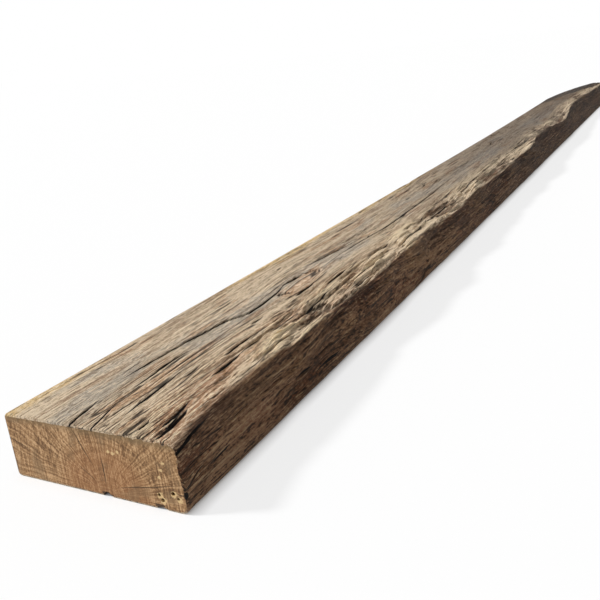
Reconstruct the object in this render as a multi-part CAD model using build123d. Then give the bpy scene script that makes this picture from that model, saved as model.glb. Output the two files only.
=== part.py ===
"""Reclaimed oak plank: one thick sawn board with a waney right edge, lying flat on its underside.

Frame: +Y runs along the board from the fresh sawn end to the worn far end, +X across it towards the
waney edge and +Z up. The origin is on the underside, at the middle of the length and width.
"""

import os
from math import pi, sin

from build123d import *

# Board, in millimetres
LENGTH = 3000
WIDTH = 170
THICKNESS = 56
LEFT_BOW = 7
THIN_MIDDLE = 5
ARRIS_ROUND = 4
CREST_ROUND = 9

# Waney edge, from the sawn end to the far end: place along the board, as a part of the last place, how far
# the crest lies in from the foot of that side, and how far it stands above the thickness
CREST = [
    (0, 1, 2), (3.2, 9, 3), (6.8, 6, 1), (10.3, 7, 0), (11.9, 1, 3), (15.3, 4, 3), (18.3, 6, 2),
    (19.7, 11, 0), (22.1, 2, 2), (26.8, 6, 1), (36.7, 4, 3), (39.7, 6, 3), (41.7, 1, 4), (44.7, 5, 4),
    (54.3, 14, 7), (58.8, 4, 3), (63.3, 11, 4), (70, 31, 9), (75, 36, 9), (90, 30, 7), (100, 30, 5),
]

# Far end: the left side runs in along an arc
TAPER_LENGTH = 650
TAPER_DEPTH = 95
TAPER_BULGE = 22

# Splits in the top face: start, bend and end as (distance from the sawn end, place across), then the
# width at the middle and the depth
SPLITS = [
    ((75, -29), (170, -25), (248, -6), 3.5, 14),
    ((104, 44), (126, 43), (152, 41), 5.0, 16),
    ((60, -6), (115, -10), (153, -6), 2.5, 8),
    ((305, 17), (322, 18), (342, 19), 3.5, 10),
    ((335, -14), (358, -12), (380, -9), 4.0, 12),
]

# Rotted pocket beside the crest at the sawn end
POCKET_START = 4
POCKET_LENGTH = 44
POCKET_RADIUS = 8
POCKET_FROM_EDGE = 20

# Heart shake: an open groove under the pith, deepest at the sawn end
SHAKE_ACROSS = 10
SHAKE_LENGTH = 180
SHAKE_RADIUS = 5

# Beetle flight holes in the sawn end: place across, height, diameter
FLIGHT_HOLES = [(60, 12.5, 3.0), (62.5, 8.5, 3.5), (73, 16, 3.5), (77, 12.5, 2.5)]
FLIGHT_DEPTH = 12

CUT_CLEAR = 20


def lengthwise(distance):
    """Y of a point at a distance from the sawn end."""
    return distance - LENGTH / 2


def sawn_board():
    """The whole board: its long edges are curves, and its faces are stretched between them."""
    foot_points = []
    top_points = []
    crest_points = []
    far_place = CREST[-1][0]
    for place, inset, rise in CREST:
        share = place / far_place
        y = lengthwise(share * LENGTH)
        mid_share = sin(pi * share)
        left = -WIDTH / 2 + LEFT_BOW * mid_share
        foot_points.append((left, y, 0))
        top_points.append((left, y, THICKNESS - THIN_MIDDLE * mid_share))
        crest_points.append((WIDTH / 2 - inset, y, THICKNESS + rise))
    left_foot = Spline(*foot_points)
    left_top = Spline(*top_points)
    crest = Spline(*crest_points)
    right_foot = Line((WIDTH / 2, lengthwise(0), 0), (WIDTH / 2, lengthwise(LENGTH), 0))

    long_edges = [left_foot, right_foot, crest, left_top]
    faces = [
        Face.make_surface_from_curves(long_edges[i].edge(), long_edges[i - 1].edge())
        for i in (0, 2, 3)
    ]
    for end in (0, 1):
        faces.append(Face(Wire.make_polygon([edge @ end for edge in long_edges], close=True)))
    foot_ends = [Line(left_foot @ end, right_foot @ end) for end in (0, 1)]
    underside = make_face([left_foot, right_foot, *foot_ends]).face()
    faces.append(underside)
    board = Solid(Shell(faces))

    board = fillet(board.edges().sort_by_distance(crest @ 0.5)[0], CREST_ROUND)
    for arris in (left_foot, right_foot, left_top):
        board = fillet(board.edges().sort_by_distance(arris @ 0.5)[0], ARRIS_ROUND)
    return board


def far_taper():
    """What is missing from the left of the far end."""
    start = (-WIDTH / 2, lengthwise(LENGTH - TAPER_LENGTH))
    end = (-WIDTH / 2 + TAPER_DEPTH, lengthwise(LENGTH))
    chord = Vector(*end) - Vector(*start)
    outward = Vector(-chord.Y, chord.X).normalized()
    middle = (Vector(*start) + Vector(*end)) / 2 + outward * TAPER_BULGE
    past_left = -WIDTH / 2 - CUT_CLEAR
    past_end = lengthwise(LENGTH) + CUT_CLEAR
    outline = [
        ThreePointArc(start, middle, end),
        Polyline(end, (end[0], past_end), (past_left, past_end), (past_left, start[1]), start),
    ]
    return extrude(make_face(outline), amount=THICKNESS + CUT_CLEAR)


def split(start, bend, end, width, depth):
    """Blade that opens one drying split in the top face, widest at its bend."""
    near, middle, far = [(across, lengthwise(distance)) for distance, across in (start, bend, end)]
    sides = [
        Spline(near, (middle[0] + side * width / 2, middle[1]), far)
        for side in (-1, 1)
    ]
    blade = extrude(make_face(sides), amount=depth + CUT_CLEAR)
    return Pos(0, 0, THICKNESS - depth) * blade


def spindle(distance, length, radius, across, height):
    """Round gouge along the grain that runs out to a point at both ends."""
    near, far = lengthwise(distance), lengthwise(distance + length)
    profile = make_face([
        Spline((0, near), (radius, (near + far) / 2), (0, far)),
        Line((0, far), (0, near)),
    ])
    return Pos(across, 0, height) * revolve(profile, Axis.Y)


def rotted_pocket():
    return spindle(POCKET_START, POCKET_LENGTH, POCKET_RADIUS, WIDTH / 2 - POCKET_FROM_EDGE, THICKNESS)


def heart_shake():
    return spindle(-SHAKE_LENGTH, 2 * SHAKE_LENGTH, SHAKE_RADIUS, SHAKE_ACROSS, 0)


def flight_hole(across, height, diameter):
    bit = Cylinder(diameter / 2, FLIGHT_DEPTH, rotation=(90, 0, 0))
    return Pos(across, lengthwise(FLIGHT_DEPTH / 2), height) * bit


plank = sawn_board() - far_taper()
for cut in SPLITS:
    plank -= split(*cut)
plank -= rotted_pocket()
plank -= heart_shake()
for hole in FLIGHT_HOLES:
    plank -= flight_hole(*hole)

os.makedirs("parts", exist_ok=True)
export_step(plank, "parts/oak_plank.step")
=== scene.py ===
import math

import bpy
import numpy as np
from mathutils import Matrix, Vector
from mathutils.bvhtree import BVHTree
from mathutils.geometry import delaunay_2d_cdt


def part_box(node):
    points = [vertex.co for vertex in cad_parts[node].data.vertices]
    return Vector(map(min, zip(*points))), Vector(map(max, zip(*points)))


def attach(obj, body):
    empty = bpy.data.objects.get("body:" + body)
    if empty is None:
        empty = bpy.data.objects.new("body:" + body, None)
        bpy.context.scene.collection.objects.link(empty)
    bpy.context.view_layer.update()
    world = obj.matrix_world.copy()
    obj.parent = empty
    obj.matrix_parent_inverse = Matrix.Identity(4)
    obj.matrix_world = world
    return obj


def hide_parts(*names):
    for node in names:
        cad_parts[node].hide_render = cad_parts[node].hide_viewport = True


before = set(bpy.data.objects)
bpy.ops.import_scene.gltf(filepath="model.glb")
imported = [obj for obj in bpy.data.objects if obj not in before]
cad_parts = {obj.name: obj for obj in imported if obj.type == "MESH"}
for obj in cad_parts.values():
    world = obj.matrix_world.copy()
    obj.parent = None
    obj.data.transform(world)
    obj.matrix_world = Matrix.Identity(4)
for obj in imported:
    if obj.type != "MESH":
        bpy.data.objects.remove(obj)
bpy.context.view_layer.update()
scene = bpy.context.scene
scene.view_settings.view_transform = "Standard"

# The plank's form. One thick oak board, sawn along the trunk long ago and left to weather: the underside
# and the left side are flat, the right side follows the trunk. Its section is read off the solid at
# even stations, where rays miss the splits, and redrawn as a fine net of points round the board.
MM = 0.001
STATION_PITCH = 10 * MM
STATION_INSET = 0.2 * MM
LEFT_RAY_HEIGHT = 20 * MM
SIDE_RAY_HEIGHTS = (12 * MM, 38 * MM)
TOP_RAY_LEFT = -60 * MM
TOP_RAY_RIGHT = 34 * MM
RAY_CLEARANCE = 10 * MM
low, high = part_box("oak_plank")
length = high.y - low.y
cad_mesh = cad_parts["oak_plank"].data
solid = BVHTree.FromPolygons(
    [v.co for v in cad_mesh.vertices],
    [p.vertices for p in cad_mesh.polygons],
)


def meet(x, y, z, way):
    """Where a ray from outside, along one axis, first meets the solid."""
    start = Vector((x, y, z)) - Vector(way)
    return solid.ray_cast(start, Vector(way))[0]


def read_section(y):
    """The four corners of the section at y, before rounding: left foot, right foot, crest, left top."""
    left = meet(0, y, LEFT_RAY_HEIGHT, (1, 0, 0)).x
    top_a = meet(max(TOP_RAY_LEFT, left + RAY_CLEARANCE), y, 0, (0, 0, -1))
    top_b = meet(TOP_RAY_RIGHT, y, 0, (0, 0, -1))
    side_a, side_b = [meet(0, y, z, (-1, 0, 0)) for z in SIDE_RAY_HEIGHTS]
    rise = (top_b.z - top_a.z) / (top_b.x - top_a.x)
    lean = (side_b.x - side_a.x) / (side_b.z - side_a.z)
    foot = side_a.x - lean * side_a.z
    crest_z = (top_a.z + rise * (foot - top_a.x)) / (1 - rise * lean)
    left_z = top_a.z + rise * (left - top_a.x)
    return [left, 0, foot, 0, foot + lean * crest_z, crest_z, left, left_z]


first_station = low.y + STATION_INSET
last_station = high.y - STATION_INSET
stations = np.append(np.arange(first_station, last_station, STATION_PITCH), last_station)
read = np.array([read_section(y) for y in stations])


def corners_at(y):
    """Section corners at any places along the board, as an array of shape (places, corner, x or z)."""
    return np.stack([np.interp(y, stations, c) for c in read.T], axis=-1).reshape(-1, 4, 2)


# The net. Its rows look evenly spaced from the sawn end: under 3 mm apart there, and more further off. Its
# columns lie closest at the crest, where the wood is roughest, and at the heart shake in the underside.
# The outermost rows are drawn in along a quarter round, because the arris of each end is worn.
CREST_ROUND = 10 * MM
FOOT_ROUND = 9 * MM
ARRIS_ROUND = 4 * MM
END_WEAR = 1.8 * MM
NEAR_ROW = 2.8 * MM
VIEW_REACH = 450 * MM
ROUGH_REACH = 60 * MM
SHAKE_SHARE = 0.57
SIDE_CROWDING = 0.4
TOP_CROWDING = 0.45
row_count = int(math.log(1 + length / VIEW_REACH) * VIEW_REACH / NEAR_ROW)
rows = low.y + VIEW_REACH * ((1 + length / VIEW_REACH) ** np.linspace(0, 1, row_count) - 1)
wear_turn = np.radians([90, 45, 0])
end_rows = END_WEAR * (1 - np.sin(wear_turn))
end_insets = END_WEAR * (1 - np.cos(wear_turn))
rows = np.concatenate([low.y + end_rows, rows[1:-1], high.y - end_rows[::-1]])
row_count = len(rows)
corners = corners_at(rows)
rounds = [(ARRIS_ROUND, 4), (FOOT_ROUND, 6), (CREST_ROUND, 12), (ARRIS_ROUND, 5)]
shake_steps = SHAKE_SHARE + np.linspace(-0.05, 0.05, 14)
foot_steps = np.concatenate([np.linspace(0, 0.5, 9)[:-1], shake_steps, np.linspace(0.64, 1, 12)[:-1]])
side_steps = np.linspace(0, 1, 61)[:-1]
side_steps = side_steps * (1 + SIDE_CROWDING - SIDE_CROWDING * side_steps)
top_steps = np.linspace(0, 1, 151)[:-1]
top_steps = top_steps * (1 - TOP_CROWDING + TOP_CROWDING * top_steps)
left_steps = np.linspace(0, 1, 15)[:-1]
face_steps = [foot_steps, side_steps, top_steps, left_steps]
columns = []
for i, (worn, count) in enumerate(rounds):
    corner, before, after = corners[:, i], corners[:, i - 1], corners[:, (i + 1) % 4]
    back = (before - corner) / np.linalg.norm(before - corner, axis=1)[:, None] * worn
    ahead = (after - corner) / np.linalg.norm(after - corner, axis=1)[:, None]
    for t in np.linspace(0, 1, count, endpoint=False):
        columns.append(corner + (1 - t) ** 2 * back + t**2 * worn * ahead)
    leave = corner + ahead * worn
    arrive = after - ahead * rounds[(i + 1) % 4][0]
    for t in face_steps[i]:
        columns.append(leave + (arrive - leave) * t)
net = np.stack(columns, axis=1)
column_count = net.shape[1]
course = np.roll(net, -1, axis=1) - np.roll(net, 1, axis=1)
facing = np.stack([course[:, :, 1], -course[:, :, 0]], axis=2)
facing /= np.linalg.norm(facing, axis=2)[:, :, None]
for i, inset in enumerate(end_insets):
    for row in (i, -1 - i):
        net[row] -= facing[row] * inset
row_places = np.repeat(rows[:, None], column_count, axis=1)
points = np.stack([net[:, :, 0], row_places, net[:, :, 1]], axis=2)
outward = np.stack([facing[:, :, 0], np.zeros_like(net[:, :, 0]), facing[:, :, 1]], axis=2)
from_crest = np.linalg.norm(net - corners[:, None, 2], axis=2) / ROUGH_REACH
from_rim = np.linalg.norm(net - corners[:, None, 3], axis=2) / MM
long_faces = []
for r in range(row_count - 1):
    for c in range(column_count):
        d = (c + 1) % column_count
        corner = [(r, c), (r + 1, c), (r + 1, d), (r, d)]
        long_faces.append([row * column_count + column for row, column in corner])


def mesh_of(name, points, faces, outward, crest, rim):
    """A smooth mesh whose points know which way is out, how near the crest they are (from 0 to 1) and
    how far from the left arris (in millimetres)."""
    made = bpy.data.meshes.new(name)
    made.from_pydata(points, [], faces)
    made.attributes.new("outward", "FLOAT_VECTOR", "POINT").data.foreach_set("vector", np.ravel(outward))
    made.attributes.new("crest", "FLOAT", "POINT").data.foreach_set("value", np.ravel(crest))
    made.attributes.new("rim", "FLOAT", "POINT").data.foreach_set("value", np.ravel(rim))
    made.polygons.foreach_set("use_smooth", [True] * len(faces))
    return made


crest_near = np.clip(1 - from_crest, 0, 1)
board_net = mesh_of("board_net", points.reshape(-1, 3), long_faces, outward, crest_near, from_rim)


# Grain, shared by the relief and the colour. Oak weathers in streaks along the trunk: fine fibres, strands
# between the growth rings, broad bands and slow swells, all bent a little where the trunk wandered, and
# parted round the one knot in the top. Sizes here and in the materials are in millimetres.
KNOT = (4, low.y / MM + 352, 0)
KNOT_RADIUS = 13
KNOT_STRETCH = 2.6
GRAIN_WANDER = 30


def wire(tree, kind, *values, out=0, at=None, **settings):
    """Adds a node with its settings, feeds its inputs with values or links, and returns one output."""
    made = tree.nodes.new(kind)
    for name, value in settings.items():
        setattr(made, name, value)
    for key, value in [*enumerate(values), *(at or {}).items()]:
        if isinstance(value, bpy.types.NodeSocket):
            tree.links.new(value, made.inputs[key])
        else:
            made.inputs[key].default_value = value
    return made.outputs[out]


def streaks(tree, place, width, length, detail, out=0, roughness=0.6):
    """Streaks along the board, of a width and length in millimetres, as values round a half."""
    squeeze = (1 / width, 1 / length, 1 / width)
    squeezed = wire(tree, "ShaderNodeVectorMath", place, squeeze, operation="MULTIPLY")
    noise = {"Scale": 1, "Detail": detail, "Roughness": roughness}
    return wire(tree, "ShaderNodeTexNoise", squeezed, out=out, at=noise)


def grain_of(tree, place):
    """The named streaks of the grain at a place in millimetres."""
    from_knot = wire(tree, "ShaderNodeVectorMath", place, KNOT, operation="SUBTRACT")
    flat = (1, 1 / KNOT_STRETCH, 0)
    knot_way = wire(tree, "ShaderNodeVectorMath", from_knot, flat, operation="MULTIPLY")
    spread = wire(tree, "ShaderNodeVectorMath", knot_way, knot_way, out="Value", operation="DOT_PRODUCT")
    spread = wire(tree, "ShaderNodeMath", spread, KNOT_RADIUS**2, operation="ADD")
    pinch = wire(tree, "ShaderNodeMath", -(KNOT_RADIUS**2), spread, operation="DIVIDE")
    parted = wire(tree, "ShaderNodeVectorMath", from_knot, (1, 0, 0), operation="MULTIPLY")
    parted = wire(tree, "ShaderNodeVectorMath", parted, at={"Scale": pinch}, operation="SCALE")
    wander = streaks(tree, place, 85, 420, 1, out=1)
    centred = wire(tree, "ShaderNodeVectorMath", wander, (0.5, 0.5, 0.5), operation="SUBTRACT")
    reach = (GRAIN_WANDER, 0, GRAIN_WANDER)
    moved = wire(tree, "ShaderNodeVectorMath", centred, reach, operation="MULTIPLY")
    bent = wire(tree, "ShaderNodeVectorMath", place, moved, operation="ADD")
    bent = wire(tree, "ShaderNodeVectorMath", bent, parted, operation="ADD")
    return {
        "fleck": streaks(tree, bent, 1.7, 20, 4, roughness=0.75),
        "grit": streaks(tree, bent, 1.6, 5, 2, roughness=0.7),
        "fibre": streaks(tree, bent, 1.3, 120, 3, roughness=0.7),
        "strand": streaks(tree, bent, 4.5, 330, 3),
        "band": streaks(tree, bent, 12, 300, 2),
        "swell": streaks(tree, place, 55, 170, 1),
        "lump": streaks(tree, place, 12, 75, 2),
        "line": streaks(tree, bent, 10, 420, 1),
        "split": streaks(tree, bent, 5, 190, 1),
        "patch": streaks(tree, place, 40, 170, 3),
        "stain": streaks(tree, bent, 18, 120, 3),
    }


# Checks. Drying splits run along the grain and taper out at both ends. Each is a line over the board with
# its half width in millimetres; places are distances from the sawn end and across the top or up the side,
# or across and up the sawn end. A line that starts before the sawn end is open there.
def on_top(distance, across):
    """A place on the top, between the left arris and the crest."""
    _, _, crest, left = corners_at(np.array([low.y + distance * MM]))[0]
    share = (across * MM - left[0]) / (crest[0] - left[0])
    return (across * MM, low.y + distance * MM, left[1] + share * (crest[1] - left[1]))


def on_side(distance, up):
    """A place on the waney side, between the right foot and the crest."""
    _, foot, crest, _ = corners_at(np.array([low.y + distance * MM]))[0]
    share = up * MM / crest[1]
    return (foot[0] + share * (crest[0] - foot[0]), low.y + distance * MM, up * MM)


def on_foot(distance, across):
    """A place on the underside."""
    return (across * MM, low.y + distance * MM, 0)


def on_end(across, up):
    """A place on the sawn end."""
    return (across * MM, low.y, up * MM)


CHECKS = [
    (on_top, 2.4, [(75, -29), (115, -28), (156, -25), (193, -21), (224, -17), (240, -9), (248, -6),
                   (271, -6.5), (314, -9), (342, -14)]),
    (on_top, 2.8, [(333, -14), (349, -12.5), (380, -9)]),
    (on_top, 1.9, [(374, -10), (384, -7), (391, 0), (389, 12)]),
    (on_top, 1.5, [(62, -6), (121, -10), (137, -9), (153, -6)]),
    (on_top, 1.5, [(-12, -13), (8, -17), (42, -21)]),
    (on_top, 1.0, [(-20, 7), (2, 6), (28, 0.6), (50, -3)]),
    (on_top, 1.1, [(20, 18), (59, 16), (115, 13)]),
    (on_top, 1.2, [(92, 23), (118, 22.5)]),
    (on_top, 2.1, [(102, 44), (127, 43), (154, 41)]),
    (on_top, 1.2, [(150, 41), (177, 40), (202, 41), (240, 42)]),
    (on_top, 1.7, [(10, 43), (22, 42.5)]),
    (on_top, 2.6, [(1, 65), (18, 64), (46, 60)]),
    (on_top, 1.6, [(14, 58), (34, 57), (58, 54)]),
    (on_top, 1.8, [(138, 33), (165, 31), (190, 31)]),
    (on_top, 1.3, [(216, 13), (240, 14.5)]),
    (on_top, 2.4, [(300, -5), (311, 2), (318, 11)]),
    (on_top, 2.3, [(303, 18), (325, 17.5), (345, 19)]),
    (on_top, 2.0, [(338, 38), (360, 37), (396, 37)]),
    (on_top, 1.1, [(249, 47), (290, 46), (333, 47)]),
    (on_top, 1.4, [(394, -22), (448, -15), (495, -9), (545, -2.5)]),
    (on_top, 1.5, [(400, 3), (472, 0.6), (566, 4), (623, 7), (670, 8.5), (746, 6), (840, 3), (940, -1)]),
    (on_top, 1.8, [(442, 46), (475, 43), (512, 45)]),
    (on_top, 2.0, [(616, 58), (680, 55), (780, 49.5)]),
    (on_side, 1.8, [(-25, 49), (0, 50), (20, 52), (46, 54)]),
    (on_side, 1.1, [(34, 21), (50, 21), (64, 23)]),
    (on_side, 1.0, [(176, 24), (192, 25), (208, 24)]),
    (on_side, 1.1, [(215, 15), (268, 14.5)]),
    (on_foot, 4.2, [(-180, 10), (0, 10), (90, 11), (180, 9)]),
    (on_foot, 3.0, [(-16, 59), (0, 59), (16, 60)]),
    (on_end, 0.7, [(-17, 57), (-12.3, 52), (-3.8, 35), (2, 23)]),
    (on_end, 0.75, [(10, 38), (10.5, 20), (10, 9)]),
    (on_end, 0.55, [(-16, 25), (-8, 19), (4, 9)]),
    (on_end, 0.65, [(14, 8), (33, 13), (60, 19), (84, 24)]),
    (on_end, 0.6, [(-88, 38), (-75, 32), (-58, 26)]),
    (on_end, 0.8, [(96, 18), (82, 16), (74, 17)]),
]
check_lines = bpy.data.curves.new("check_lines", "CURVE")
check_lines.dimensions = "3D"
for place, half_width, course in CHECKS:
    line = check_lines.splines.new("POLY")
    line.points.add(len(course) - 1)
    for point, spot in zip(line.points, course):
        point.co = (*place(*spot), 1)
        point.radius = half_width
checks = bpy.data.objects.new("check_lines", check_lines)
scene.collection.objects.link(checks)


# Weathered oak. Sawn long ago, then bleached by sun and rain: grey-brown, streaked along the grain, darker
# and redder on the waney side, and matt all over. Its colour also holds painted light: painted highlights
# on the raised ridges by the crest, along the crest and along the left arris near the sawn end, and painted
# shade in the hollows, just under the crest, towards the far end and, near black, in the checks.
FLANK_WANDER = 1.6
RIM_WANDER = 30
TONE_DEPTH = 25
TIP_START = 0.75
TIP_FULL = 1.15
TIP_WIDENING = 50
# Where along the board, in metres from its middle, the painted highlight on the left arris breaks off.
DULL_RIM = -1.3
GREY_MIDDLE = -8
GREY_FADE = 0.006


def ink(code):
    """An sRGB hex colour as linear red, green, blue and alpha."""
    parts = [int(code[i:i + 2], 16) / 255 for i in (1, 3, 5)]
    return (*[p / 12.92 if p <= 0.04045 else ((p + 0.055) / 1.055) ** 2.4 for p in parts], 1)


weathered = bpy.data.materials.new("weathered oak")
weathered.use_nodes = True
tree = weathered.node_tree
skin = tree.nodes["Principled BSDF"]
rest = wire(tree, "ShaderNodeAttribute", out="Vector", attribute_name="rest")

# What its colour hangs on, point by point: the grain, the way the skin faces, the place along the board in
# metres from its middle, the distance from the left arris and from each check, and the relief.
grain = grain_of(tree, rest)
for name in ("relief", "crest", "rim", "check_side", "check_half"):
    grain[name] = wire(tree, "ShaderNodeAttribute", out="Fac", attribute_name=name)
out_way = wire(tree, "ShaderNodeAttribute", out="Vector", attribute_name="outward")
right = wire(tree, "ShaderNodeVectorMath", out_way, (1, 0, 0), out="Value", operation="DOT_PRODUCT")
grain["left"] = wire(tree, "ShaderNodeMath", right, -1.0, operation="MULTIPLY")
right = wire(tree, "ShaderNodeMath", grain["stain"], FLANK_WANDER, right, operation="MULTIPLY_ADD")
grain["right"] = wire(tree, "ShaderNodeMath", right, FLANK_WANDER / 2, operation="SUBTRACT")
grain["far"] = wire(tree, "ShaderNodeVectorMath", rest, (0, MM, 0), out="Value", operation="DOT_PRODUCT")
from_dull = wire(tree, "ShaderNodeMath", grain["far"], DULL_RIM, operation="SUBTRACT")
grain["dull"] = wire(tree, "ShaderNodeMath", from_dull, operation="ABSOLUTE")
tone = wire(tree, "ShaderNodeMath", grain["strand"], 0.15, operation="MULTIPLY")
for name, weight in (("fibre", 0.3), ("fleck", 0.3), ("grit", 0.25)):
    tone = wire(tree, "ShaderNodeMath", grain[name], weight, tone, operation="MULTIPLY_ADD")
grain["tone"] = tone
# How high the skin stands, with the pale grain counted as higher: this places the painted highlight on the
# ridges and the painted shade in the hollows.
worn = wire(tree, "ShaderNodeMath", grain["tone"], 0.5, operation="SUBTRACT")
grain["worn"] = wire(tree, "ShaderNodeMath", worn, TONE_DEPTH, grain["relief"], operation="MULTIPLY_ADD")
rim = grain["rim"]
grain["rim"] = wire(tree, "ShaderNodeMath", grain["stain"], -RIM_WANDER, rim, operation="MULTIPLY_ADD")
widening = wire(tree, "ShaderNodeMapRange", grain["far"], TIP_START, TIP_FULL, 0.0, -TIP_WIDENING)
grain["tip"] = wire(tree, "ShaderNodeMath", widening, grain["rim"], operation="ADD")
off_grey = wire(tree, "ShaderNodeSeparateXYZ", rest, out="X")
off_grey = wire(tree, "ShaderNodeMath", off_grey, GREY_MIDDLE, operation="SUBTRACT")
off_grey = wire(tree, "ShaderNodeMath", off_grey, operation="ABSOLUTE")
grain["grey"] = wire(tree, "ShaderNodeMath", off_grey, -GREY_FADE, grain["patch"], operation="MULTIPLY_ADD")
for name in ("line", "split"):
    grain[name] = wire(tree, "ShaderNodeMath", grain[name], 0.5, operation="SUBTRACT")
    grain[name] = wire(tree, "ShaderNodeMath", grain[name], operation="ABSOLUTE")
from_middle = wire(tree, "ShaderNodeMath", grain["check_side"], operation="ABSOLUTE")
grain["open"] = wire(tree, "ShaderNodeMath", grain["check_half"], from_middle, operation="SUBTRACT")

# How much of each colour shows: none where its field has the first value, the most from the second on.
share = {}
for name, field, start, full, most in [
    ("dark streak", "tone", 0.5, 0.44, 0.78),
    ("pale streak", "tone", 0.49, 0.56, 0.9),
    ("grey", "grey", 0.32, 0.48, 0.85),
    ("stain", "stain", 0.54, 0.66, 0.6),
    ("umber", "band", 0.54, 0.64, 0.6),
    ("far", "far", -1.3, 0.0, 1.0),
    # painted shade: darker towards the far end
    ("dusk", "far", 0.2, 1.0, 1.0),
    ("near", "far", -0.35, -0.55, 1.0),
    ("off dull", "dull", 0.05, 0.2, 1.0),
    ("flank", "right", 0.25, 0.7, 1.0),
    ("left", "left", 0.3, 0.9, 1.0),
    ("side crease", "tone", 0.49, 0.43, 0.9),
    ("side fibre", "tone", 0.53, 0.58, 0.7),
    ("side patch", "patch", 0.52, 0.4, 0.55),
    # painted shade: the waney side darker just under the crest, in patches
    ("eave", "crest", 0.45, 0.85, 0.75),
    ("eave gap", "patch", 0.42, 0.56, 1.0),
    # painted highlight: a pale band along the crest on the top, as if the lamp lit the rounded crest,
    # broken in patches
    ("lip", "crest", 0.05, 0.85, 0.85),
    ("lip gap", "patch", 0.37, 0.48, 1.0),
    ("lip streak", "tone", 0.44, 0.5, 1.0),
    ("lip reach", "far", -1.35, -0.95, 1.0),
    ("top side", "right", 0.6, 0.2, 1.0),
    # painted highlight: a bright strip along the left arris in the near half, as if the lamp grazed it
    ("sunned rim", "rim", 3.0, -9.0, 0.9),
    # a darker band along the left of the far tip, on the top only, streaked with the grain
    ("old rim", "tip", 14.0, -10.0, 1.0),
    ("old reach", "far", 0.7, 0.9, 1.0),
    ("old streak", "tone", 0.61, 0.51, 1.0),
    ("off left", "left", 0.85, 0.35, 1.0),
    # painted highlight on the parts of the relief that stand highest, near the crest
    ("ridge", "worn", -1.0, 1.6, 1.0),
    ("rust", "swell", 0.52, 0.38, 0.65),
    # painted shade in the low parts of the relief, fading out towards the far end
    ("hollow", "worn", -3.0, -6.2, 0.8),
    ("hollow reach", "far", 0.1, -1.1, 1.0),
    ("line", "line", 0.026, 0.006, 0.9),
    ("line gap", "stain", 0.5, 0.56, 1.0),
    ("split", "split", 0.026, 0.006, 0.8),
    ("split gap", "patch", 0.52, 0.44, 1.0),
    # painted shade: the checks painted near black inside, as their shadow
    ("check", "open", -0.05, 0.3, 1.0),
]:
    share[name] = wire(tree, "ShaderNodeMapRange", grain[field], start, full, 0.0, most,
                       interpolation_type="SMOOTHSTEP")
share["crest"] = wire(tree, "ShaderNodeMapRange", grain["crest"], 0.0, 0.55, 0.0, 1.0)
for name, only in [
    ("ridge", "crest"),
    ("rust", "crest"),
    ("eave", "eave gap"),
    ("eave", "flank"),
    ("side crease", "flank"),
    ("side fibre", "flank"),
    ("side patch", "flank"),
    ("sunned rim", "near"),
    ("sunned rim", "off dull"),
    ("old rim", "old reach"),
    ("old rim", "off left"),
    ("old rim", "old streak"),
    ("old rim", "top side"),
    ("lip", "lip gap"),
    ("lip", "lip streak"),
    ("lip", "lip reach"),
    ("lip", "top side"),
    ("hollow", "hollow reach"),
    ("line", "line gap"),
    ("split", "split gap"),
]:
    share[name] = wire(tree, "ShaderNodeMath", share[name], share[only], operation="MULTIPLY")

# The colours, from the bare wood up, and under them the fine relief that the net is too coarse for.
colour = ink("#D6BE9F")
for name, way, laid in [
    ("grey", "MIX", "#ABA295"),
    ("stain", "MIX", "#B67F50"),
    ("umber", "MIX", "#8E6B50"),
    ("rust", "MIX", "#A66B42"),
    # painted highlight along the left arris
    ("sunned rim", "MIX", "#F0CC8E"),
    ("dark streak", "MIX", "#826D56"),
    ("pale streak", "MIX", "#E9D5B8"),
    # painted highlight on the ridges
    ("ridge", "MIX", "#F3DCB4"),
    ("far", "MULTIPLY", "#A1A1A4"),
    # painted shade towards the far end
    ("dusk", "MULTIPLY", "#DDD2C7"),
    # painted highlight along the crest
    ("lip", "MIX", "#E6D0B2"),
    ("left", "MULTIPLY", "#B4A79A"),
    ("flank", "MULTIPLY", "#B0988A"),
    ("side patch", "MULTIPLY", "#94826F"),
    # painted shade under the crest
    ("eave", "MULTIPLY", "#6E6258"),
    ("side crease", "MIX", "#2C2018"),
    ("side fibre", "MIX", "#B89A78"),
    # darker band along the left of the far tip
    ("old rim", "MULTIPLY", "#5E5249"),
    # painted shade in the hollows
    ("hollow", "MIX", "#33261B"),
    ("line", "MIX", "#1E160F"),
    ("split", "MIX", "#3A2C20"),
    # painted shade in the checks
    ("check", "MIX", "#120C08"),
]:
    over = {6: colour, 7: ink(laid)}
    colour = wire(tree, "ShaderNodeMix", share[name], at=over, out=2, data_type="RGBA", blend_type=way)
tree.links.new(colour, skin.inputs["Base Color"])
skin.inputs["Roughness"].default_value = 0.86
skin.inputs["Specular IOR Level"].default_value = 0.25
height = wire(tree, "ShaderNodeMath", grain["fibre"], 1.2, operation="MULTIPLY")
for name, depth in (("strand", 2.0), ("fleck", 2.4), ("grit", 1.4)):
    height = wire(tree, "ShaderNodeMath", grain[name], depth, height, operation="MULTIPLY_ADD")
for name, depth in (("line", 1.2), ("split", 0.8), ("check", 1.5)):
    height = wire(tree, "ShaderNodeMath", share[name], -depth, height, operation="MULTIPLY_ADD")
bump = wire(tree, "ShaderNodeBump", at={"Strength": 1.0, "Distance": MM, "Height": height})
tree.links.new(bump, skin.inputs["Normal"])

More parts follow.
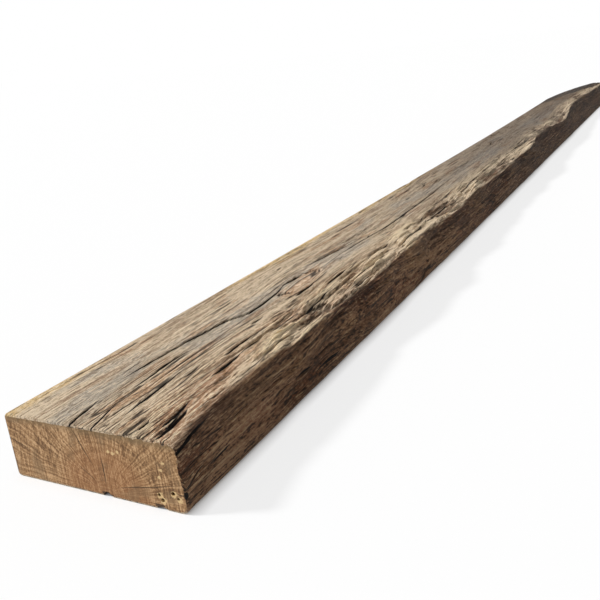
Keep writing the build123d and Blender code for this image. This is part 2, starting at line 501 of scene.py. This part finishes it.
# Sawn oak end grain. Cut across the fibres not long ago: tan, with growth rings round the pith low in the
# section, pale rays out from it, the upright marks of the saw, and a darker rim where weather got in.
PITH = (10, 0, 2)
RING_WOBBLE = 9
WOBBLE_SPAN = 28
FRASS_DRIFT = (0.8, -0.5)
FRASS_GRIT = 2.2
FRASS_REACH = 4.0
FAR_OFF = 100.0
FLIGHT_HOLES = [(60, 12.5, 3.0), (62.5, 8.5, 3.5), (73, 16, 3.5), (77, 12.5, 2.5)]
GALLERIES = [(18, 41, 0.3), (22, 40, 0.5), (27, 41.5, 0.3), (62, 28, 0.3), (64.5, 34, 0.5), (67, 40, 0.2)]
sawn = bpy.data.materials.new("sawn oak end grain")
sawn.use_nodes = True
tree = sawn.node_tree
skin = tree.nodes["Principled BSDF"]
rest = wire(tree, "ShaderNodeAttribute", out="Vector", attribute_name="rest")
wobble = wire(tree, "ShaderNodeTexNoise", rest, out=1, at={"Scale": 1 / WOBBLE_SPAN, "Detail": 2})
wobble = wire(tree, "ShaderNodeVectorMath", wobble, (0.5, 0.5, 0.5), operation="SUBTRACT")
wobble = wire(tree, "ShaderNodeVectorMath", wobble, (RING_WOBBLE, 0, RING_WOBBLE), operation="MULTIPLY")
from_pith = wire(tree, "ShaderNodeVectorMath", rest, PITH, operation="SUBTRACT")
from_pith = wire(tree, "ShaderNodeVectorMath", from_pith, wobble, operation="ADD")
from_pith = wire(tree, "ShaderNodeVectorMath", from_pith, (1, 0, 1), operation="MULTIPLY")
ring = wire(tree, "ShaderNodeVectorMath", from_pith, out="Value", operation="LENGTH")
across = wire(tree, "ShaderNodeSeparateXYZ", from_pith, out="X")
up = wire(tree, "ShaderNodeSeparateXYZ", from_pith, out="Z")
turn = wire(tree, "ShaderNodeMath", up, across, operation="ARCTAN2")
ring_place = wire(tree, "ShaderNodeCombineXYZ", ring, turn, 0.0)
grain = {"ring": ring}
for name, place, squeeze, detail in [
    ("rings", ring_place, (1 / 2.4, 1.6, 0), 3),
    ("rays", ring_place, (1 / 40, 30.0, 0), 4),
    ("kerf", rest, (1 / 1.4, 0, 1 / 35), 2),
    ("grit", rest, (1 / 1.5, 0, 1 / 1.5), 3),
    ("cloud", rest, (1 / 22, 0, 1 / 22), 3),
]:
    squeezed = wire(tree, "ShaderNodeVectorMath", place, squeeze, operation="MULTIPLY")
    grain[name] = wire(tree, "ShaderNodeTexNoise", squeezed, at={"Scale": 1, "Detail": detail})
tone = wire(tree, "ShaderNodeMath", grain["rings"], 0.2, operation="MULTIPLY")
for name, weight in (("rays", 0.34), ("grit", 0.22), ("kerf", 0.24)):
    tone = wire(tree, "ShaderNodeMath", grain[name], weight, tone, operation="MULTIPLY_ADD")
grain["tone"] = tone
half = wire(tree, "ShaderNodeAttribute", out="Fac", attribute_name="check_half")
from_middle = wire(tree, "ShaderNodeAttribute", out="Fac", attribute_name="check_side")
from_middle = wire(tree, "ShaderNodeMath", from_middle, operation="ABSOLUTE")
grain["open"] = wire(tree, "ShaderNodeMath", half, from_middle, operation="SUBTRACT")
grain["up"] = wire(tree, "ShaderNodeSeparateXYZ", rest, out="Z")
along = wire(tree, "ShaderNodeSeparateXYZ", rest, out="Y")
from_near = wire(tree, "ShaderNodeMath", along, low.y / MM, operation="SUBTRACT")
from_far = wire(tree, "ShaderNodeMath", high.y / MM, along, operation="SUBTRACT")
grain["deep"] = wire(tree, "ShaderNodeMath", from_near, from_far, operation="MINIMUM")
from_hole = FAR_OFF
for across, up, diameter in FLIGHT_HOLES + GALLERIES:
    hole = (across + FRASS_DRIFT[0], low.y / MM, up + FRASS_DRIFT[1])
    away = wire(tree, "ShaderNodeVectorMath", rest, hole, out="Value", operation="DISTANCE")
    away = wire(tree, "ShaderNodeMath", away, diameter / 2, operation="SUBTRACT")
    from_hole = wire(tree, "ShaderNodeMath", from_hole, away, operation="MINIMUM")
dust = wire(tree, "ShaderNodeTexNoise", rest, at={"Scale": 1 / FRASS_GRIT, "Detail": 1})
grain["frass"] = wire(tree, "ShaderNodeMath", dust, -FRASS_REACH, from_hole, operation="MULTIPLY_ADD")
colour = ink("#97744F")
for name, start, full, most, laid in [
    ("tone", 0.5, 0.43, 1.0, "#674A2F"),
    ("tone", 0.5, 0.57, 0.95, "#C5A077"),
    ("ring", 52.0, 30.0, 0.4, "#95633C"),
    ("cloud", 0.52, 0.66, 0.5, "#7C6448"),
    ("up", 48.0, 55.0, 0.55, "#6E5C40"),
    ("frass", -0.6, -1.3, 0.8, "#D8BA88"),
    # painted shade: the splits in the end painted dark, as their shadow
    ("open", 0.0, 0.4, 0.85, "#38281A"),
    # painted shade: the beetle holes darker inside, the deeper the darker
    ("deep", 0.5, 4.0, 0.9, "#1E150E"),
]:
    laid_share = wire(tree, "ShaderNodeMapRange", grain[name], start, full, 0.0, most,
                      interpolation_type="SMOOTHSTEP")
    colour = wire(tree, "ShaderNodeMix", laid_share, at={6: colour, 7: ink(laid)}, out=2, data_type="RGBA")
tree.links.new(colour, skin.inputs["Base Color"])
skin.inputs["Roughness"].default_value = 0.8
skin.inputs["Specular IOR Level"].default_value = 0.3
bump = wire(tree, "ShaderNodeBump", at={"Strength": 0.6, "Distance": MM, "Height": grain["tone"]})
tree.links.new(bump, skin.inputs["Normal"])

# Relief. Geometry Nodes press the grain and the checks into the net, deepest towards the crest, where the
# sapwood has rotted, and leave on each point what the colour needs to know. The underside and the sawn
# ends are pressed only by their checks.
LINE_PITCH = 2 * MM
CHECK_TAPER = 0.7
CHECK_NEAR = 1.8
CHECK_LIP = 0.4
RELIEF_MIDDLE = 0.53
SOUND_REACH = 250
CALM_START = 450
CALM_FULL = 1500
relief = bpy.data.node_groups.new("weathered relief", "GeometryNodeTree")
relief.interface.new_socket("Geometry", in_out="INPUT", socket_type="NodeSocketGeometry")
socket_of = {}
for name, kind in [
    ("Check lines", "NodeSocketObject"),
    ("Finish", "NodeSocketMaterial"),
    ("Strand relief", "NodeSocketFloat"),
    ("Band relief", "NodeSocketFloat"),
    ("Swell relief", "NodeSocketFloat"),
    ("Lump relief", "NodeSocketFloat"),
    ("Groove depth", "NodeSocketFloat"),
    ("Least roughness", "NodeSocketFloat"),
    ("Lip height", "NodeSocketFloat"),
    ("Hair check", "NodeSocketFloat"),
    ("Check depth", "NodeSocketFloat"),
    ("Deepest check", "NodeSocketFloat"),
    ("Check wander", "NodeSocketFloat"),
]:
    socket_of[name] = relief.interface.new_socket(name, in_out="INPUT", socket_type=kind).identifier
relief.interface.new_socket("Geometry", in_out="OUTPUT", socket_type="NodeSocketGeometry")
given = relief.nodes.new("NodeGroupInput").outputs

# The grain at each point of the net, and the lines of the checks with their half widths and courses.
position = wire(relief, "GeometryNodeInputPosition")
outward = wire(relief, "GeometryNodeInputNamedAttribute", "outward", data_type="FLOAT_VECTOR")
place = wire(relief, "ShaderNodeVectorMath", position, at={"Scale": 1 / MM}, operation="SCALE")
grain = grain_of(relief, place)
lines = wire(relief, "GeometryNodeObjectInfo", given["Check lines"], out="Geometry")
lines = wire(relief, "GeometryNodeResampleCurve", lines, at={"Length": LINE_PITCH}, mode="LENGTH")
line_share = wire(relief, "GeometryNodeSplineParameter")
taper = wire(relief, "ShaderNodeMath", line_share, math.pi, operation="MULTIPLY")
taper = wire(relief, "ShaderNodeMath", taper, operation="SINE")
taper = wire(relief, "ShaderNodeMath", taper, CHECK_TAPER, operation="POWER")
radius = wire(relief, "GeometryNodeInputRadius")
half_width = wire(relief, "ShaderNodeMath", radius, taper, operation="MULTIPLY")
tangent = wire(relief, "GeometryNodeInputTangent")
for name, value, kind in [("half_width", half_width, "FLOAT"), ("course", tangent, "FLOAT_VECTOR")]:
    named = {"Name": name, "Value": value}
    lines = wire(relief, "GeometryNodeStoreNamedAttribute", lines, at=named, data_type=kind)
lines = wire(relief, "GeometryNodeCurveToMesh", lines)

# How far each point lies from the nearest check, to which side of it, and how wide that check is there.
stray = streaks(relief, place, 14, 45, 2, out=1)
stray = wire(relief, "ShaderNodeVectorMath", stray, (0.5, 0.5, 0.5), operation="SUBTRACT")
stray = wire(relief, "ShaderNodeVectorMath", stray, at={"Scale": given["Check wander"]}, operation="SCALE")
stray = wire(relief, "ShaderNodeVectorMath", stray, at={"Scale": MM}, operation="SCALE")
ragged = wire(relief, "ShaderNodeVectorMath", position, stray, operation="ADD")
nearest = wire(relief, "GeometryNodeSampleNearest", lines, ragged, domain="POINT")
foot = wire(relief, "GeometryNodeProximity", lines, at={"Sample Position": ragged}, target_element="EDGES")
half = wire(relief, "GeometryNodeInputNamedAttribute", "half_width", data_type="FLOAT")
half = wire(relief, "GeometryNodeSampleIndex", lines, half, nearest, data_type="FLOAT")
course = wire(relief, "GeometryNodeInputNamedAttribute", "course", data_type="FLOAT_VECTOR")
course = wire(relief, "GeometryNodeSampleIndex", lines, course, nearest, data_type="FLOAT_VECTOR")
away = wire(relief, "ShaderNodeVectorMath", ragged, foot, operation="SUBTRACT")
across = wire(relief, "ShaderNodeVectorMath", course, outward, operation="CROSS_PRODUCT")
side = wire(relief, "ShaderNodeVectorMath", away, across, out="Value", operation="DOT_PRODUCT")
side = wire(relief, "ShaderNodeMath", side, 1 / MM, operation="MULTIPLY")
gap = wire(relief, "ShaderNodeVectorMath", away, out="Value", operation="LENGTH")
gap = wire(relief, "ShaderNodeMath", gap, 1 / MM, operation="MULTIPLY")
reach = wire(relief, "ShaderNodeMath", half, CHECK_NEAR, operation="ADD")
close = wire(relief, "ShaderNodeMath", gap, reach, operation="LESS_THAN")
half = wire(relief, "ShaderNodeMath", half, close, operation="MULTIPLY")

wide = wire(relief, "ShaderNodeMath", half, CHECK_LIP, operation="ADD")
opening = {"From Min": wide, "From Max": 0.0}
opened = wire(relief, "ShaderNodeMapRange", gap, at=opening, interpolation_type="SMOOTHSTEP")
depth = wire(relief, "ShaderNodeMath", half, given["Hair check"], operation="SUBTRACT")
depth = wire(relief, "ShaderNodeMath", depth, 0.0, operation="MAXIMUM")
depth = wire(relief, "ShaderNodeMath", depth, given["Check depth"], operation="MULTIPLY")
depth = wire(relief, "ShaderNodeMath", depth, given["Deepest check"], operation="MINIMUM")
check_press = wire(relief, "ShaderNodeMath", opened, depth, operation="MULTIPLY")
lowered = wire(relief, "ShaderNodeVectorMath", outward, (0, 0, -1), out="Value", operation="DOT_PRODUCT")
shallow = wire(relief, "ShaderNodeMapRange", lowered, 0.5, 0.9, 1.0, 0.3)
check_press = wire(relief, "ShaderNodeMath", check_press, shallow, operation="MULTIPLY")

# How high the weathered grain stands: in layers with worn lips, lower where the wood is still sound.
crest = wire(relief, "GeometryNodeInputNamedAttribute", "crest", data_type="FLOAT")
rough = wire(relief, "ShaderNodeMapRange", crest, 0.0, 0.75, given["Least roughness"], 1.0,
             interpolation_type="SMOOTHSTEP")
total = 0.0
for streak in ("strand", "band", "swell", "lump"):
    centred = wire(relief, "ShaderNodeMath", grain[streak], RELIEF_MIDDLE, operation="SUBTRACT")
    size = given[streak.capitalize() + " relief"]
    total = wire(relief, "ShaderNodeMath", centred, size, total, operation="MULTIPLY_ADD")
from_line = wire(relief, "ShaderNodeMath", grain["line"], 0.5, operation="SUBTRACT")
from_line = wire(relief, "ShaderNodeMath", from_line, operation="ABSOLUTE")
groove = wire(relief, "ShaderNodeMapRange", from_line, 0.1, 0.0, 0.0, 1.0,
              interpolation_type="SMOOTHSTEP")
broken = wire(relief, "ShaderNodeMapRange", grain["stain"], 0.44, 0.56, 0.0, 1.0)
groove = wire(relief, "ShaderNodeMath", groove, broken, operation="MULTIPLY")
groove = wire(relief, "ShaderNodeMath", groove, given["Groove depth"], operation="MULTIPLY")
total = wire(relief, "ShaderNodeMath", total, groove, operation="SUBTRACT")
total = wire(relief, "ShaderNodeMath", total, rough, operation="MULTIPLY")
layers = wire(relief, "ShaderNodeMath", total, given["Lip height"], operation="DIVIDE")
layer = wire(relief, "ShaderNodeMath", layers, operation="FLOOR")
lip = wire(relief, "ShaderNodeMath", layers, operation="FRACT")
lip = wire(relief, "ShaderNodeMapRange", lip, 0.3, 0.7, 0.0, 1.0, interpolation_type="SMOOTHSTEP")
layer = wire(relief, "ShaderNodeMath", layer, lip, operation="ADD")
total = wire(relief, "ShaderNodeMath", layer, given["Lip height"], operation="MULTIPLY")
along = wire(relief, "ShaderNodeSeparateXYZ", place, out="Y")
along = wire(relief, "ShaderNodeMath", along, low.y / MM, operation="SUBTRACT")
sound = wire(relief, "ShaderNodeMapRange", along, 0.0, SOUND_REACH, 0.3, 1.0)
total = wire(relief, "ShaderNodeMath", total, sound, operation="MULTIPLY")
calm = wire(relief, "ShaderNodeMapRange", along, CALM_START, CALM_FULL, 1.0, 0.6)
total = wire(relief, "ShaderNodeMath", total, calm, operation="MULTIPLY")
ends = wire(relief, "ShaderNodeVectorMath", outward, (0, 1, 0), out="Value", operation="DOT_PRODUCT")
ends = wire(relief, "ShaderNodeMath", ends, operation="ABSOLUTE")
plain = wire(relief, "ShaderNodeMath", lowered, ends, operation="MAXIMUM")
keep = wire(relief, "ShaderNodeMapRange", plain, 0.2, 0.8, 1.0, 0.0, interpolation_type="SMOOTHSTEP")
total = wire(relief, "ShaderNodeMath", total, keep, operation="MULTIPLY")
total = wire(relief, "ShaderNodeMath", total, check_press, operation="SUBTRACT")

# What each point keeps for the colour, and then the push itself.
shape = given["Geometry"]
for name, value, kind in [
    ("rest", place, "FLOAT_VECTOR"),
    ("relief", total, "FLOAT"),
    ("check_side", side, "FLOAT"),
    ("check_half", half, "FLOAT"),
]:
    named = {"Name": name, "Value": value}
    shape = wire(relief, "GeometryNodeStoreNamedAttribute", shape, at=named, data_type=kind)
height = wire(relief, "GeometryNodeInputNamedAttribute", "relief", data_type="FLOAT")
height = wire(relief, "ShaderNodeMath", height, MM, operation="MULTIPLY")
push = wire(relief, "ShaderNodeVectorMath", outward, at={"Scale": height}, operation="SCALE")
shape = wire(relief, "GeometryNodeSetPosition", shape, at={"Offset": push})
shape = wire(relief, "GeometryNodeRealizeInstances", shape)
shape = wire(relief, "GeometryNodeSetMaterial", shape, at={"Material": given["Finish"]})
relief.links.new(shape, relief.nodes.new("NodeGroupOutput").inputs[0])


def pressed(mesh, finish):
    """The mesh after the relief tree, as a plain mesh."""
    carrier = bpy.data.objects.new(mesh.name, mesh)
    scene.collection.objects.link(carrier)
    press = carrier.modifiers.new("weathered relief", "NODES")
    press.node_group = relief
    for name, value in [
        ("Check lines", checks),
        ("Finish", finish),
        ("Strand relief", 8.0),
        ("Band relief", 15.0),
        ("Swell relief", 22.0),
        ("Lump relief", 11.0),
        ("Groove depth", 2.2),
        ("Least roughness", 0.18),
        ("Lip height", 3.0),
        ("Hair check", 0.8),
        ("Check depth", 6.0),
        ("Deepest check", 13.0),
        ("Check wander", 2.5),
    ]:
        press[socket_of[name]] = value
    scene.view_layers[0].update()
    evaluated = carrier.evaluated_get(bpy.context.evaluated_depsgraph_get())
    plain_mesh = bpy.data.meshes.new_from_object(evaluated)
    bpy.data.objects.remove(carrier)
    return plain_mesh


def values_of(mesh, name, kind, width):
    """One attribute of a mesh as an array, one row a point."""
    found = np.empty(len(mesh.vertices) * width, np.float32)
    mesh.attributes[name].data.foreach_get(kind, found)
    return found.reshape(-1, width)


# Sawn ends. Each is a flat cut that closes the net along its pressed edge. Beetles have left four holes in
# the near one, and a tube of a few faces runs in behind each. The whole board becomes one closed mesh.
FLIGHT_DEPTH = 12 * MM
HOLE_SIDES = 12
HOLE_CLEARANCE = 0.5
NEAR_END_PITCH = 1.5 * MM
FAR_END_PITCH = 6 * MM
MERGE_GAP = 1e-7
ATTRIBUTES = [
    ("rest", "FLOAT_VECTOR", "vector", 3),
    ("outward", "FLOAT_VECTOR", "vector", 3),
    ("relief", "FLOAT", "value", 1),
    ("crest", "FLOAT", "value", 1),
    ("rim", "FLOAT", "value", 1),
    ("check_side", "FLOAT", "value", 1),
    ("check_half", "FLOAT", "value", 1),
]

# The sheet that the colours are baked on: the long faces unrolled in its lower part, with less room for the
# underside, and the two ends side by side above them.
SHEET_SIDES = 0.87
SHEET_GAP = 0.01
UNDERSIDE_SHARE = 0.4
END_SHEET_WIDTH = 0.55
END_SHEET_HEIGHT = 0.11
NEAR_END_LEFT = 0.01
FAR_END_LEFT = 0.6
girth = np.linalg.norm(np.roll(net[0], -1, axis=0) - net[0], axis=1)
under_end = rounds[0][1] + len(foot_steps)
girth[:under_end] *= UNDERSIDE_SHARE
sheet_up = np.append(0, np.cumsum(girth)) / girth.sum() * SHEET_SIDES
sheet_along = np.linspace(0, 1, row_count)
sheet = []
for r in range(row_count - 1):
    for c in range(column_count):
        sheet += [(sheet_along[r + i], sheet_up[c + j]) for i, j in ((0, 0), (1, 0), (1, 1), (0, 1))]

long_mesh = pressed(board_net, weathered)
long_places = values_of(long_mesh, "position", "vector", 3)
all_values = {name: [values_of(long_mesh, name, kind, width)] for name, _, kind, width in ATTRIBUTES}
all_points = [long_places]
all_faces = [list(face) for face in long_faces]
point_count = len(long_places)
for row, pitch, way, holes, sheet_left in (
    (0, NEAR_END_PITCH, -1, FLIGHT_HOLES, NEAR_END_LEFT),
    (row_count - 1, FAR_END_PITCH, 1, [], FAR_END_LEFT),
):
    # The end's points: the pressed edge, the rims of the holes, and an even grid between them.
    edge = range(row * column_count, (row + 1) * column_count)
    outline = [Vector((long_places[i][0], long_places[i][2])) for i in edge]
    spots = list(outline)
    hole_edges = []
    for across, up, diameter in holes:
        first = len(spots)
        for i in range(HOLE_SIDES):
            hole_edges.append((first + i, first + (i + 1) % HOLE_SIDES))
            angle = math.tau * i / HOLE_SIDES
            arm = Vector((math.cos(angle), math.sin(angle))) * diameter / 2
            spots.append((Vector((across, up)) + arm) * MM)
    low_spot = np.min(outline, axis=0)
    high_spot = np.max(outline, axis=0)
    for x in np.arange(low_spot[0] + pitch, high_spot[0], pitch):
        for z in np.arange(low_spot[1] + pitch, high_spot[1], pitch):
            spot = Vector((x, z))
            if all((spot / MM - Vector((a, b))).length > d / 2 + HOLE_CLEARANCE for a, b, d in holes):
                spots.append(spot)
    around = [list(range(column_count))]
    flat, _, triangles, origins, _, _ = delaunay_2d_cdt(spots, hole_edges, around, 1, MERGE_GAP)

    # Its faces, apart from those that would close a hole.
    number = {}
    cap_points = []
    cap_faces = []
    cap_outward = []
    for triangle in triangles:
        middle = sum((flat[i] for i in triangle), Vector((0, 0))) / 3
        if any((middle / MM - Vector((a, b))).length < d / 2 for a, b, d in holes):
            continue
        for i in triangle:
            if i not in number:
                number[i] = len(cap_points)
                cap_points.append((flat[i].x, rows[row], flat[i].y))
                on_edge = any(origin < column_count for origin in origins[i])
                cap_outward.append((0, 0, 0) if on_edge else (0, way, 0))
        a, b, c = [number[i] for i in triangle]
        cap_faces.append((a, b, c) if way < 0 else (a, c, b))

    # The tube and the floor of each hole.
    rim_of = {origin: number[i] for i in number for origin in origins[i]}
    cap_sheet = [(x, z) for x, _, z in cap_points]
    for k, (across, up, diameter) in enumerate(holes):
        rim = [rim_of[column_count + k * HOLE_SIDES + i] for i in range(HOLE_SIDES)]
        floor_rim = list(range(len(cap_points), len(cap_points) + HOLE_SIDES))
        for i in rim:
            x, y, z = cap_points[i]
            cap_points.append((x, y + FLIGHT_DEPTH, z))
            cap_sheet.append(((x + across * MM) / 2, (z + up * MM) / 2))
            cap_outward.append((0, 0, 0))
        for i in range(HOLE_SIDES):
            j = (i + 1) % HOLE_SIDES
            cap_faces.append((rim[i], rim[j], floor_rim[j], floor_rim[i]))
        cap_faces.append(tuple(floor_rim))

    # Its place on the sheet, and its points, of which those on the edge belong to the long faces already.
    for x, z in [cap_sheet[i] for face in cap_faces for i in face]:
        across_sheet = (x - low_spot[0]) / (high.x - low.x)
        up_sheet = (z - low_spot[1]) / (high.z - low.z)
        sheet_place = sheet_left + END_SHEET_WIDTH * across_sheet
        sheet.append((sheet_place, SHEET_SIDES + SHEET_GAP + END_SHEET_HEIGHT * up_sheet))
    nothing = np.zeros(len(cap_points))
    cap_net = mesh_of("end_net", cap_points, cap_faces, cap_outward, nothing, nothing)
    cap_mesh = pressed(cap_net, sawn)
    own = {rim_of[i]: edge[i] for i in range(column_count)}
    added = [i for i in range(len(cap_points)) if i not in own]
    own.update({i: point_count + k for k, i in enumerate(added)})
    all_faces += [[own[i] for i in face] for face in cap_faces]
    all_points.append(values_of(cap_mesh, "position", "vector", 3)[added])
    for name, _, kind, width in ATTRIBUTES:
        all_values[name].append(values_of(cap_mesh, name, kind, width)[added])
    point_count += len(added)
bpy.data.objects.remove(checks)

# The whole board, as one piece in place of the solid.
board_mesh = bpy.data.meshes.new("oak_board")
board_mesh.from_pydata(np.concatenate(all_points), [], all_faces)
for name, kind, field, _ in ATTRIBUTES:
    made = board_mesh.attributes.new(name, kind, "POINT")
    made.data.foreach_set(field, np.concatenate(all_values[name]).ravel())
board_mesh.polygons.foreach_set("use_smooth", [True] * len(all_faces))
end_count = len(all_faces) - len(long_faces)
board_mesh.polygons.foreach_set("material_index", [0] * len(long_faces) + [1] * end_count)
board_mesh.uv_layers.new(name="OFBake").uv.foreach_set("vector", np.ravel(sheet))
board_mesh.materials.append(weathered)
board_mesh.materials.append(sawn)
board_mesh.set_sharp_from_angle(angle=math.radians(75))
board = bpy.data.objects.new("oak_board", board_mesh)
scene.collection.objects.link(board)
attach(board, "root")
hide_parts("oak_plank")

# Camera, where the photograph was taken: an arm's length from the sawn end, to its right and above it.
# Its angles, place and lens were fitted to the edges of the sawn end and of the long faces.
SENSOR_WIDTH = 36
PHOTO_WIDTH = 600
FOCAL_PIXELS = 730.6
CAMERA_PLACE = (0.3791, low.y - 0.3408, 0.2998)
pitch = math.radians(18.64)
yaw = math.radians(-28.93)
roll = math.radians(6.06)
forward = Vector((math.sin(yaw) * math.cos(pitch), math.cos(yaw) * math.cos(pitch), -math.sin(pitch)))
level = Vector((math.cos(yaw), -math.sin(yaw), 0))
down = forward.cross(level)
right = math.cos(roll) * level + math.sin(roll) * down
down = -math.sin(roll) * level + math.cos(roll) * down
camera = bpy.data.objects.new("camera", bpy.data.cameras.new("camera"))
scene.collection.objects.link(camera)
camera.data.sensor_width = SENSOR_WIDTH
camera.data.lens = SENSOR_WIDTH * FOCAL_PIXELS / PHOTO_WIDTH
turn = Matrix((right, -down, -forward)).transposed().to_4x4()
camera.matrix_world = Matrix.Translation(CAMERA_PLACE) @ turn
scene.camera = camera

# Studio. A plain white paper floor that runs out into a white backdrop, one soft lamp from the left and an
# even fill. What the camera sees of the floor is mostly a white glow, dimmed close to the plank, so that
# a soft shadow stays.
FLOOR_REACH = 60
FLOOR_GLOW = 0.8
GAP_REACH = 12 * MM
FILL = 0.32
LAMP_WAY = (0.70, 0.31, -0.64)
floor_mesh = bpy.data.meshes.new("floor")
floor_corners = [(x * FLOOR_REACH, y * FLOOR_REACH, 0) for x, y in ((-1, -1), (1, -1), (1, 1), (-1, 1))]
floor_mesh.from_pydata(floor_corners, [], [(0, 1, 2, 3)])
floor = bpy.data.objects.new("floor", floor_mesh)
scene.collection.objects.link(floor)
paper = bpy.data.materials.new("white paper")
paper.use_nodes = True
tree = paper.node_tree
skin = tree.nodes["Principled BSDF"]
skin.inputs["Base Color"].default_value = ink("#F4F4F4")
skin.inputs["Roughness"].default_value = 0.9
seen = tree.nodes.new("ShaderNodeLightPath").outputs
shown = wire(tree, "ShaderNodeMath", seen["Is Camera Ray"], seen["Is Glossy Ray"], operation="MAXIMUM")
shown = wire(tree, "ShaderNodeMath", shown, seen["Is Transmission Ray"], operation="MAXIMUM")
shown = wire(tree, "ShaderNodeMath", shown, FLOOR_GLOW, operation="MULTIPLY")
clear = wire(tree, "ShaderNodeAmbientOcclusion", at={"Distance": GAP_REACH}, out="AO")
shown = wire(tree, "ShaderNodeMath", shown, clear, operation="MULTIPLY")
glow = wire(tree, "ShaderNodeEmission", ink("#FFFFFF"), 1.0)
mixed = wire(tree, "ShaderNodeMixShader", shown, skin.outputs[0], glow)
tree.links.new(mixed, tree.nodes["Material Output"].inputs["Surface"])
floor_mesh.materials.append(paper)

world = bpy.data.worlds.new("studio")
scene.world = world
world.use_nodes = True
tree = world.node_tree
seen = tree.nodes.new("ShaderNodeLightPath").outputs
shown = wire(tree, "ShaderNodeMath", seen["Is Camera Ray"], seen["Is Glossy Ray"], operation="MAXIMUM")
shown = wire(tree, "ShaderNodeMath", shown, seen["Is Transmission Ray"], operation="MAXIMUM")
level = wire(tree, "ShaderNodeMapRange", shown, 0.0, 1.0, FILL, 1.0)
tree.links.new(level, tree.nodes["Background"].inputs["Strength"])
tree.nodes["Background"].inputs["Color"].default_value = (1, 1, 1, 1)
lamp = bpy.data.objects.new("lamp", bpy.data.lights.new("lamp", "SUN"))
lamp.data.energy = 3.6
lamp.data.angle = math.radians(8)
lamp.rotation_mode = "QUATERNION"
lamp.rotation_quaternion = Vector(LAMP_WAY).to_track_quat("-Z", "Y")
scene.collection.objects.link(lamp)
